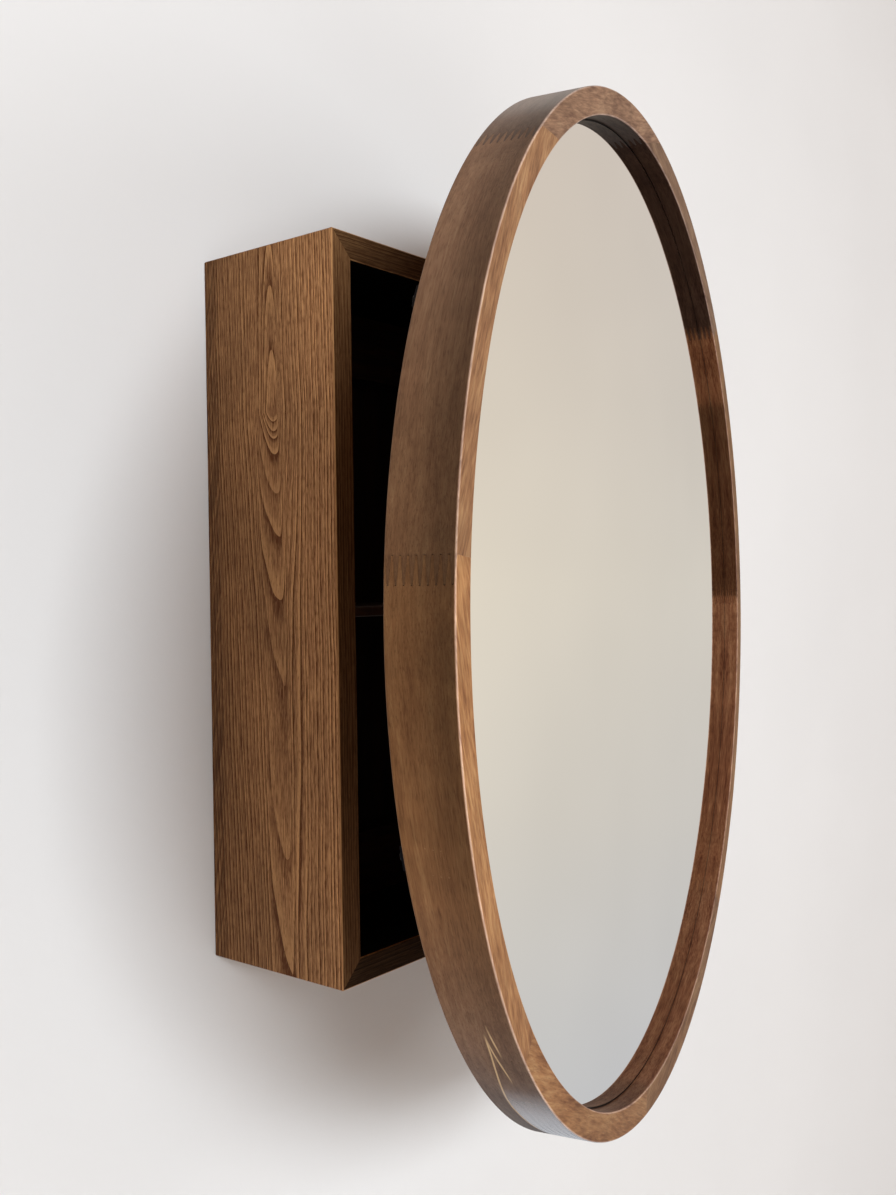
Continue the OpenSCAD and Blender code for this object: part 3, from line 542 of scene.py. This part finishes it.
def ring_piece(index, s):
    """One curved piece of the ring between two joints.

    Each point of the section is carried round the centre. Its angle goes evenly from the first
    joint to the second, where a joint's angle is its own, plus its lean times the share of the
    face crossed, plus asin(finger line / r). The two ends are closed by ruled faces across the
    section, so the fingers run through the wood."""
    (r, z), zs, step, starts = ring_profile(s)
    count = len(r)
    share = (r - (s.radius - s.face)) / s.face - 0.5
    bounds = []
    for which, side in ((index, 1), (index + 1, -1)):
        angle, lean, _ = RING_JOINTS[which % len(RING_JOINTS)]
        middle = np.radians(angle + 360 * (which // len(RING_JOINTS)) + lean * share)
        bounds.append((middle, middle + np.arcsin(finger_line(z, side, s) / r)))
    (m0, a0), (m1, a1) = bounds
    steps = int(np.degrees((m1 - m0).mean()) / SECTION)
    t = np.linspace(0, 1, steps + 1)[:, None]
    angle = (1 - t) * a0 + t * a1
    local = np.stack([r * np.cos(angle), r * np.sin(angle), np.broadcast_to(z, angle.shape)], -1)
    # Faces of the swept surface, then the two ends.
    i, j = np.arange(steps)[:, None] * count, np.arange(count)
    k = (j + 1) % count
    sides = np.stack([i + j, i + k, i + count + k, i + count + j], -1).reshape(-1, 4)
    outer = np.arange(len(zs))
    low, cut = int((zs <= step).sum()), int((zs < step).sum())
    behind = starts[6] - 1 - np.arange(low)
    ahead = starts[5] - 1 - np.arange(len(zs) - cut)
    inner = np.concatenate([behind[:-1], ahead])
    quads = [[outer[n], outer[n + 1], behind[n + 1], behind[n]] for n in range(low - 1)]
    quads += [[outer[cut + n], outer[cut + n + 1], ahead[n + 1], ahead[n]]
              for n in range(1, len(ahead) - 1)]
    quads += [[outer[cut], outer[cut + 1], ahead[1], ahead[0], behind[-1]],
              list(range(starts[6] - 1, count)) + [0],
              list(range(len(zs) - 1, starts[4] + 1))]
    first = [face[::-1] for face in quads]
    last = [[int(v) + steps * count for v in face] for face in quads]
    faces = sides.tolist() + [[int(v) for v in face] for face in first] + last
    mesh = bpy.data.meshes.new(f"ring_wood_{index + 1}")
    points = local.reshape(-1, 3)
    mesh.from_pydata(points.tolist(), [], faces)
    # Signed volume of the swept faces and ends; a negative one means that all faces look inwards.
    mesh.calc_loop_triangles()
    tri = np.zeros(len(mesh.loop_triangles) * 3, np.int32)
    mesh.loop_triangles.foreach_get("vertices", tri)
    a, b, c = points[tri.reshape(-1, 3)].transpose(1, 0, 2)
    if (a * np.cross(b, c)).sum() < 0:
        mesh.flip_normals()
    mesh.transform(door_place(s))
    # The plank's own axes: along the chord, through the ring's depth, and outwards.
    middle = float((m0 + m1).mean() / 2)
    axes = np.array([[-math.sin(middle), math.cos(middle), 0], [0, 0, 1],
                     [math.cos(middle), math.sin(middle), 0]])
    # Each plank has its own stretch of the grain.
    spread = np.array([0.61, 0.37, 0.23]) * (index + 1)
    past = np.where(t < 0.5, (angle - m0) * r, (m1 - angle) * r)
    joint = np.stack(np.broadcast_arrays(past, z, np.where(t < 0.5, 1.0, -1.0)), -1)
    tone, mark = ring_looks(index, s, r, z, t, angle)
    for name, values in (("plank", points @ axes.T + spread), ("joint", joint), ("tone", tone),
                         ("mark", mark)):
        layer = mesh.attributes.new(name, "FLOAT_VECTOR", "POINT")
        layer.data.foreach_set("vector", values.astype(np.float32).ravel())
    mesh.shade_smooth()
    mesh.set_sharp_from_angle(angle=math.radians(35))
    piece = bpy.data.objects.new(mesh.name, mesh)
    bpy.context.scene.collection.objects.link(piece)
    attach(piece, "mirror_door")
    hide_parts(f"ring_segment_{index + 1}")
    return piece


def smooth(x, low, high):
    """0 below low, 1 above high and 3t^2 - 2t^3 between them."""
    t = np.clip((x - low) / (high - low), 0, 1)
    return t * t * (3 - 2 * t)


def ring_looks(index, s, r, z, t, angle):
    """Brightness, colour strength, polish; then glue, sapwood and painted highlight, calm, for each
    point of a piece.

    The front face takes the piece's first brightness, the outer wall its second and the inner wall
    its third; these set the faces of one plank apart partly by painted light and shade. Turns are
    in degrees, anticlockwise from the right. The outer wall darkens from back to front by a smooth
    step, partly painted shade, lighter towards the wall, by less on the lower left, and is darker
    about the left joint."""
    front, outer, inner, strength = RING_PLANKS[index]
    before, after = RING_PLANKS[index - 1], RING_PLANKS[(index + 1) % len(RING_PLANKS)]
    turn = np.degrees(angle)
    face = smooth(z, s.depth - 0.8 * s.edge, s.depth)
    outside = smooth(r, s.radius - s.face / 2 - MM, s.radius - s.face / 2 + MM)
    inside, walls = 1 - outside, 1 - face
    ahead = smooth(z, 12 * MM, 14 * MM)
    # Painted light and shade: the outer wall is lighter towards its back, near the wall, and darker
    # towards its front.
    fall = 0.62 - 0.3 * smooth(turn, 185, 210)
    outer = outer * (1 - 0.3 * smooth(turn, 140, 168) * (1 - smooth(turn, 182, 205)))
    outer = outer * (1 + fall * (0.5 - smooth(z, 0.1 * s.depth, 0.9 * s.depth)))
    # Inside the ring the brightness, partly painted shade, changes straight across a joint, not
    # along its fingers, and once more within the first piece.
    joints = [joint[0] for joint in RING_JOINTS] + [RING_JOINTS[0][0] + 360]
    inner = np.where(turn < joints[index], before[2], inner)
    inner = np.where(turn > joints[index + 1], after[2], inner)
    inner = inner * (1 + 1.2 * smooth(turn, 33, 35) * (index == 0))
    # The joint between the two lower left pieces doesn't show on the front face.
    if index in (4, 5):
        front = np.interp(turn, (198, 243), (RING_PLANKS[4][0], RING_PLANKS[5][0]))
    wall = outer * outside + inner * inside
    level = wall + (front - wall) * face
    # Painted highlight along the rounded front edges, palest in the middle of each round.
    bend = np.degrees(np.arctan2(z - s.depth + s.edge,
                                 abs(r - s.radius + s.face / 2) - s.face / 2 + s.edge))
    arris_highlight = (z > s.depth - s.edge) * np.clip(1 - abs(bend - 45) / 45, 0, 1)
    level = np.minimum(level + 1.2 * front * arris_highlight, 1.5)
    # The outer wall is polished at the foot, ahead of its back third, and at the crown. The
    # inner wall is duller than the rest, most in the first two pieces.
    dull = 0.19 if index < 2 else 0.09
    foot = smooth(turn, 222, 232) * (1 - smooth(turn, 250, 262)) * ahead
    crown = 0.4 * smooth(turn, 98, 108) * (1 - smooth(turn, 122, 132))
    polish = (foot + crown) * outside * walls - dull * inside * walls
    # Painted sheen: the outer wall is greyer towards crown and foot, most at the foot behind the
    # polish, where a painted reflection of shade darkens it too. The painted arris highlight is
    # paler as well.
    sheen_grey = 0.12 * (1 - smooth(turn, 140, 185)) + 0.28 * smooth(turn, 195, 232)
    shaded_heel = smooth(turn, 215, 240) * (1 - smooth(turn, 262, 275)) * (1 - ahead)
    sheen_grey = ((sheen_grey + 0.3 * shaded_heel) * outside + 0.05 * inside) * walls
    level = level * (1 - 0.25 * shaded_heel * outside)
    strength = strength * (1 - sheen_grey - 0.4 * arris_highlight)
    # The glue shows by each end's own strength, and less inside the ring.
    ends = [n % len(RING_JOINTS) for n in (index, index + 1)]
    glue = np.where(t < 0.5, *(RING_JOINTS[n][2] for n in ends)) * (0.2 + 0.8 * outside)
    sap_and_highlight = np.where(t < 0.5, *(float(n == SAPWOOD_AND_HIGHLIGHT_JOINT) for n in ends)) * outside * walls
    calm = 0.5 * outside * walls
    return tuple(np.stack(np.broadcast_arrays(angle, *values)[1:], -1)
                 for values in ((level, strength, polish), (glue, sap_and_highlight, calm)))


class MIRRORCAB_OT_stage(bpy.types.Operator):
    """Wall, floor, soft light and the camera"""
    bl_idname = "mirror_cabinet.stage"
    bl_label = "Stage and camera"

    def execute(self, context):
        scene, s = context.scene, context.scene.cabinet_stage
        scene.view_settings.view_transform = "Standard"
        # The wall comes down and bends through a quarter circle onto the floor.
        bend = np.linspace(0, math.pi / 2, 17)
        top, low, cove, back, near = 2.6, -1.45, 0.3, 0.6 * MM, -4.5
        plaster = self.plaster(s)
        wall = self.sheet("backdrop", np.append(back, back - cove + cove * np.cos(bend)),
                          np.append(top, low + cove - cove * np.sin(bend)), plaster)
        floor = self.sheet("floor", np.array([back - cove, near]), np.array([low, low]), plaster)
        # The mirror looks past the far edges of both, so the room's own tone stands in for them.
        wall.visible_glossy = floor.visible_glossy = False
        # The room: faint warm light, and pale tones for camera and gloss.
        world = bpy.data.worlds.new("room")
        scene.world, world.use_nodes = world, True
        put = partial(add, world.node_tree)
        way = put("TexCoord").outputs["Generated"]
        _, off, height = put("SeparateXYZ", (way,)).outputs
        room = put("ValToRGB", (put("MapRange", (height, -0.42, 0.42)),),
                   stops=((0.0, s.room_low), (0.27, mix(s.room_low, s.room_mid, 0.7)),
                          (0.5, s.room_mid), (1.0, s.room_top)))
        # Duller towards the wall, and faintly uneven, as a plain room out of focus.
        cloud = put("TexNoise", {"Vector": way, "Scale": 4.0, "Detail": 2.0})
        room = put("VectorMath", (room, put("MapRange", (cloud, 0.3, 0.7, 0.97, 1.03))),
                   operation="SCALE")
        fade = put("MapRange", (off, (-0.16,) * 3, (0.03,) * 3, (1.07, 1.06, 1.035),
                                (0.91, 0.925, 0.955)), data_type="FLOAT_VECTOR")
        room = put("VectorMath", (room, fade), operation="MULTIPLY")
        path = put("LightPath")
        seen = put("Math", (path.outputs["Is Camera Ray"], path.outputs["Is Glossy Ray"]),
                   operation="MAXIMUM")
        seen = put("Math", (seen, path.outputs["Is Transmission Ray"]), operation="MAXIMUM")
        both = put("MixShader", (seen, put("Background", {"Color": s.ambient}),
                                 put("Background", {"Color": room})))
        output = next(n for n in world.node_tree.nodes if n.type == "OUTPUT_WORLD")
        plug(output.inputs[0], both)
        # A large soft lamp in front, a little left and above, and a smaller one on the right.
        # The mirror and the polished wood never show them.
        for name, azimuth, height, wide, tall, power in (("key", -19.5, 14, 2.6, 1.1, s.key),
                                                         ("fill", 40, 5, 1.6, 1.6, s.fill)):
            lamp = bpy.data.lights.new(name, "AREA")
            lamp.shape, lamp.size, lamp.size_y, lamp.energy = "RECTANGLE", wide, tall, power
            lamp.color = s.lamplight[:3]
            a, h = math.radians(azimuth), math.radians(height)
            place = Vector((math.sin(a) * math.cos(h), -math.cos(a) * math.cos(h),
                            math.sin(h))) * s.away
            made = bpy.data.objects.new(name, lamp)
            made.matrix_world = Matrix.LocRotScale(place, (-place).to_track_quat("-Z", "Y"), None)
            made.visible_glossy = False
            scene.collection.objects.link(made)
        # The camera looks along (cos p cos y, cos p sin y, sin p) for yaw y and pitch p, with
        # its right and up turned by the roll.
        forward = Vector((math.cos(s.pitch) * math.cos(s.yaw),
                          math.cos(s.pitch) * math.sin(s.yaw), math.sin(s.pitch)))
        right = forward.cross(Vector((0, 0, 1))).normalized()
        up = right.cross(forward)
        right, up = (right * math.cos(s.roll) + up * math.sin(s.roll),
                     up * math.cos(s.roll) - right * math.sin(s.roll))
        camera = bpy.data.objects.new("camera", bpy.data.cameras.new("camera"))
        camera.data.lens, camera.data.sensor_width = s.lens, 36.0
        camera.data.clip_start = 0.01
        turn = Matrix((right, up, -forward)).transposed().to_4x4()
        camera.matrix_world = Matrix.Translation(s.place) @ turn
        scene.collection.objects.link(camera)
        scene.camera = camera
        return {"FINISHED"}

    def sheet(self, name, y, z, plaster):
        """A broad sheet: the line (y, z) carried straight across from left to right."""
        reach = 3.5
        x = np.linspace(-reach, reach, 15)[:, None]
        grid = np.stack(np.broadcast_arrays(x, y, z), -1).reshape(-1, 3)
        i, j = np.arange(len(x) - 1)[:, None] * len(y), np.arange(len(y) - 1)
        faces = np.stack([i + j, i + j + 1, i + len(y) + j + 1, i + len(y) + j], -1)
        mesh = bpy.data.meshes.new(name)
        mesh.from_pydata(grid.tolist(), [], faces.reshape(-1, 4).tolist())
        mesh.shade_smooth()
        mesh.materials.append(plaster)
        made = bpy.data.objects.new(name, mesh)
        bpy.context.scene.collection.objects.link(made)
        return made

    def plaster(self, s):
        """Painted plaster, rolled matt: faint roller texture. Its back, and the millimetres that
        touch the cabinet's back, let light through, so that views from behind show the object."""
        made, put, shader = material("painted_plaster")
        where = put("TexCoord").outputs["Object"]
        roller = put("TexNoise", {"Vector": where, "Scale": 220.0, "Detail": 3.0})
        patch = put("TexNoise", {"Vector": where, "Scale": 2.2, "Detail": 2.0})
        tint = put("MapRange", (patch, 0.3, 0.7, 0.975, 1.01))
        feed(shader, Roughness=0.9,
             Base_Color=put("VectorMath", (s.wall, tint), operation="SCALE"),
             Normal=put("Bump", {"Height": roller, "Strength": 0.08, "Distance": 0.001}))
        path = put("LightPath")
        touch = put("Math", (path.outputs["Ray Length"], 2 * MM), operation="LESS_THAN")
        clear = put("Math", (touch, put("NewGeometry").outputs["Backfacing"]),
                    operation="MAXIMUM")
        both = put("MixShader", (clear, shader, put("BsdfTransparent")))
        output = next(n for n in made.node_tree.nodes if n.type == "OUTPUT_MATERIAL")
        plug(output.inputs[0], both)
        return made


class MIRRORCAB_OT_box(bpy.types.Operator):
    """Stained ash boards of the box, its shelf, rails and back panel"""
    bl_idname = "mirror_cabinet.box"
    bl_label = "Box"

    def execute(self, context):
        woods = context.scene.cabinet_woods
        # Face, flame centre and flame peak in millimetres from the middle of the box.
        # The last number is the front edge's brightness, partly stain and partly painted shade,
        # darkest on the bottom board.
        for name, turned, face, centre, peak, phase, edge in (
                ("left_side", False, 230, -68.5, 136, 0.0, 0.55),
                ("right_side", False, 230, -50.0, -60, 4.1, 0.5),
                ("top_panel", True, 250, -80.0, 40, 7.7, 0.36),
                ("bottom_panel", True, 250, -40.0, -90, 9.3, 0.15)):
            dress(stained_ash("stained_ash_" + name, woods, turned, face * MM, centre * MM,
                              peak * MM, phase, edge), name)
        # The shelf, rails and back panel inside the box are near-black too: painted shade.
        dark = mix(woods.inside, woods.ash_dark, 0.35)
        dress(plain_wood("ash_shelf_painted_shade", dark, woods.inside, (14, 120, 120)), "shelf",
              "top_hanging_rail", "bottom_hanging_rail")
        dress(plain_wood("birch_ply_painted_shade", mix(woods.inside, woods.ash_dark, 0.2),
                         woods.inside, (90, 90, 8), edge=(1, 1.2 * MM)), "back_panel")
        pale = mix(woods.birch, woods.walnut_light, 0.5)
        dress(plain_wood("birch_ply_spline", woods.birch, pale, (60, 9, 60), edge=(0, 1.2 * MM)),
              "corner_splines")
        dress(plain_wood("turned_beech", mix(woods.birch, woods.walnut_light, 0.3), pale,
                         (20, 200, 200)), "rail_dowels")
        return {"FINISHED"}


class MIRRORCAB_OT_ring(bpy.types.Operator):
    """The ring's eight curved pieces with their finger joints"""
    bl_idname = "mirror_cabinet.ring"
    bl_label = "Ring"

    def execute(self, context):
        scene = context.scene
        walnut = ring_walnut("walnut_semi_gloss", scene.cabinet_woods, scene.cabinet_ring)
        for index in range(len(RING_JOINTS)):
            ring_piece(index, scene.cabinet_ring).data.materials.append(walnut)
        return {"FINISHED"}


class MIRRORCAB_OT_glass(bpy.types.Operator):
    """Silvered glass, its foam tape and backing board"""
    bl_idname = "mirror_cabinet.glass"
    bl_label = "Mirror"

    def execute(self, context):
        scene = context.scene
        ring, woods, fittings = scene.cabinet_ring, scene.cabinet_woods, scene.cabinet_fittings
        dress(self.silvered(ring, fittings), "mirror_glass")
        dress(moulded("foam_tape", fittings.foam, 0.9, 0.6 * MM, 0.0004), "mirror_tape")
        opening = -math.radians(HINGE["range_deg"][0])
        # The backing board is darkened towards the inside's near-black: painted shade.
        dress(plain_wood("backing_birch_ply", mix(woods.ash_dark, woods.inside, 0.35),
                         woods.inside, (90, 90, 8), rotation=(0, 0, -opening),
                         edge=(1, 1.5 * MM)), "backing_board")
        return {"FINISHED"}

    def silvered(self, ring, fittings):
        """Float glass silvered on its back: a clean mirror. A painted dark line round the rim
        stands for the shaded rebate that the eye meets through the glass's thickness."""
        made, put, shader = material("silvered_glass")
        where = put("TexCoord").outputs["Object"]
        centre = door_place(ring)
        lie = put("Mapping", {"Vector": where, "Location": centre.translation,
                              "Rotation": centre.to_euler()}, vector_type="TEXTURE")
        x, y, _ = put("SeparateXYZ", (lie,)).outputs
        radius = put("VectorMath", (put("CombineXYZ", (x, y)),), operation="LENGTH")
        lip = ring.radius - ring.face
        # Painted shade: a dark ring just inside the lip.
        painted_rim_shade = put("MapRange", (radius, lip - 1.35 * MM, lip - 1.15 * MM))
        waves = put("TexNoise", {"Vector": lie, "Scale": 7.0, "Detail": 1.0})
        tint = put("MapRange", (waves, 0.3, 0.7, 0.97, 1.0))
        silver = put("VectorMath", (fittings.silver, tint), operation="SCALE")
        feed(shader, Metallic=1.0,
             Base_Color=put("Mix", (painted_rim_shade, silver, fittings.painted_rim_shade), data_type="RGBA"),
             Roughness=put("MapRange", (painted_rim_shade, 0.0, 1.0, 0.015, 0.4)))
        return made


class MIRRORCAB_OT_fittings(bpy.types.Operator):
    """Hinges, catch, clips, screws, shelf pins and bumpers"""
    bl_idname = "mirror_cabinet.fittings"
    bl_label = "Fittings"

    def execute(self, context):
        f = context.scene.cabinet_fittings
        places = ("upper", "middle", "lower")
        dress(drawn_metal("rolled_brass", f.brass, 0.32, 0.5 * MM, (1, 1, 0.08)),
              *(p + "_hinge_cabinet_leaf" for p in places),
              *(p + "_hinge_door_leaf" for p in places))
        dress(drawn_metal("drawn_brass", f.brass, 0.25, 0.4 * MM, (1, 1, 0.05)),
              *(p + "_hinge_pin" for p in places))
        dress(drawn_metal("turned_brass", f.brass, 0.28, 0.4 * MM), "cabinet_leaf_screws",
              "door_leaf_screws")
        dress(drawn_metal("bright_zinc_plate", f.zinc, 0.36, 0.5 * MM), "strike_plate",
              "strike_screws", "catch_screws", "back_panel_screws")
        dress(drawn_metal("blackened_steel", f.black, 0.45, 0.5 * MM), "retaining_clips",
              "clip_screws")
        dress(drawn_metal("nickelled_steel", f.steel, 0.24, 0.4 * MM), "shelf_pins",
              "catch_poles")
        dress(moulded("moulded_nylon", f.plastic, 0.45, 0.5 * MM), "catch_housing")
        dress(moulded("sintered_ferrite", f.ferrite, 0.55, 0.3 * MM), "catch_magnet")
        dress(moulded("moulded_rubber", f.rubber, 0.7, 0.5 * MM), "door_bumpers")
        return {"FINISHED"}


STEPS = (MIRRORCAB_OT_stage, MIRRORCAB_OT_box, MIRRORCAB_OT_ring, MIRRORCAB_OT_glass,
         MIRRORCAB_OT_fittings)


class MIRRORCAB_PT_sidebar(bpy.types.Panel):
    """Lists the steps that build the cabinet's looks"""
    bl_label = "Mirror Cabinet"
    bl_space_type = "VIEW_3D"
    bl_region_type = "UI"
    bl_category = "Mirror Cabinet"

    def draw(self, context):
        for step in STEPS:
            self.layout.operator(step.bl_idname)


GROUPS = {"cabinet_ring": RingSizes, "cabinet_woods": WoodColours,
          "cabinet_fittings": FittingColours, "cabinet_stage": StageSettings}


def register():
    for kind in (*GROUPS.values(), *STEPS, MIRRORCAB_PT_sidebar):
        bpy.utils.register_class(kind)
    for name, group in GROUPS.items():
        setattr(bpy.types.Scene, name, PointerProperty(type=group))


def unregister():
    for name in GROUPS:
        delattr(bpy.types.Scene, name)
    for kind in reversed((*GROUPS.values(), *STEPS, MIRRORCAB_PT_sidebar)):
        bpy.utils.unregister_class(kind)


def main():
    register()
    for step in STEPS:
        space, name = step.bl_idname.split(".")
        getattr(getattr(bpy.ops, space), name)()


if __name__ == "__main__":
    main()
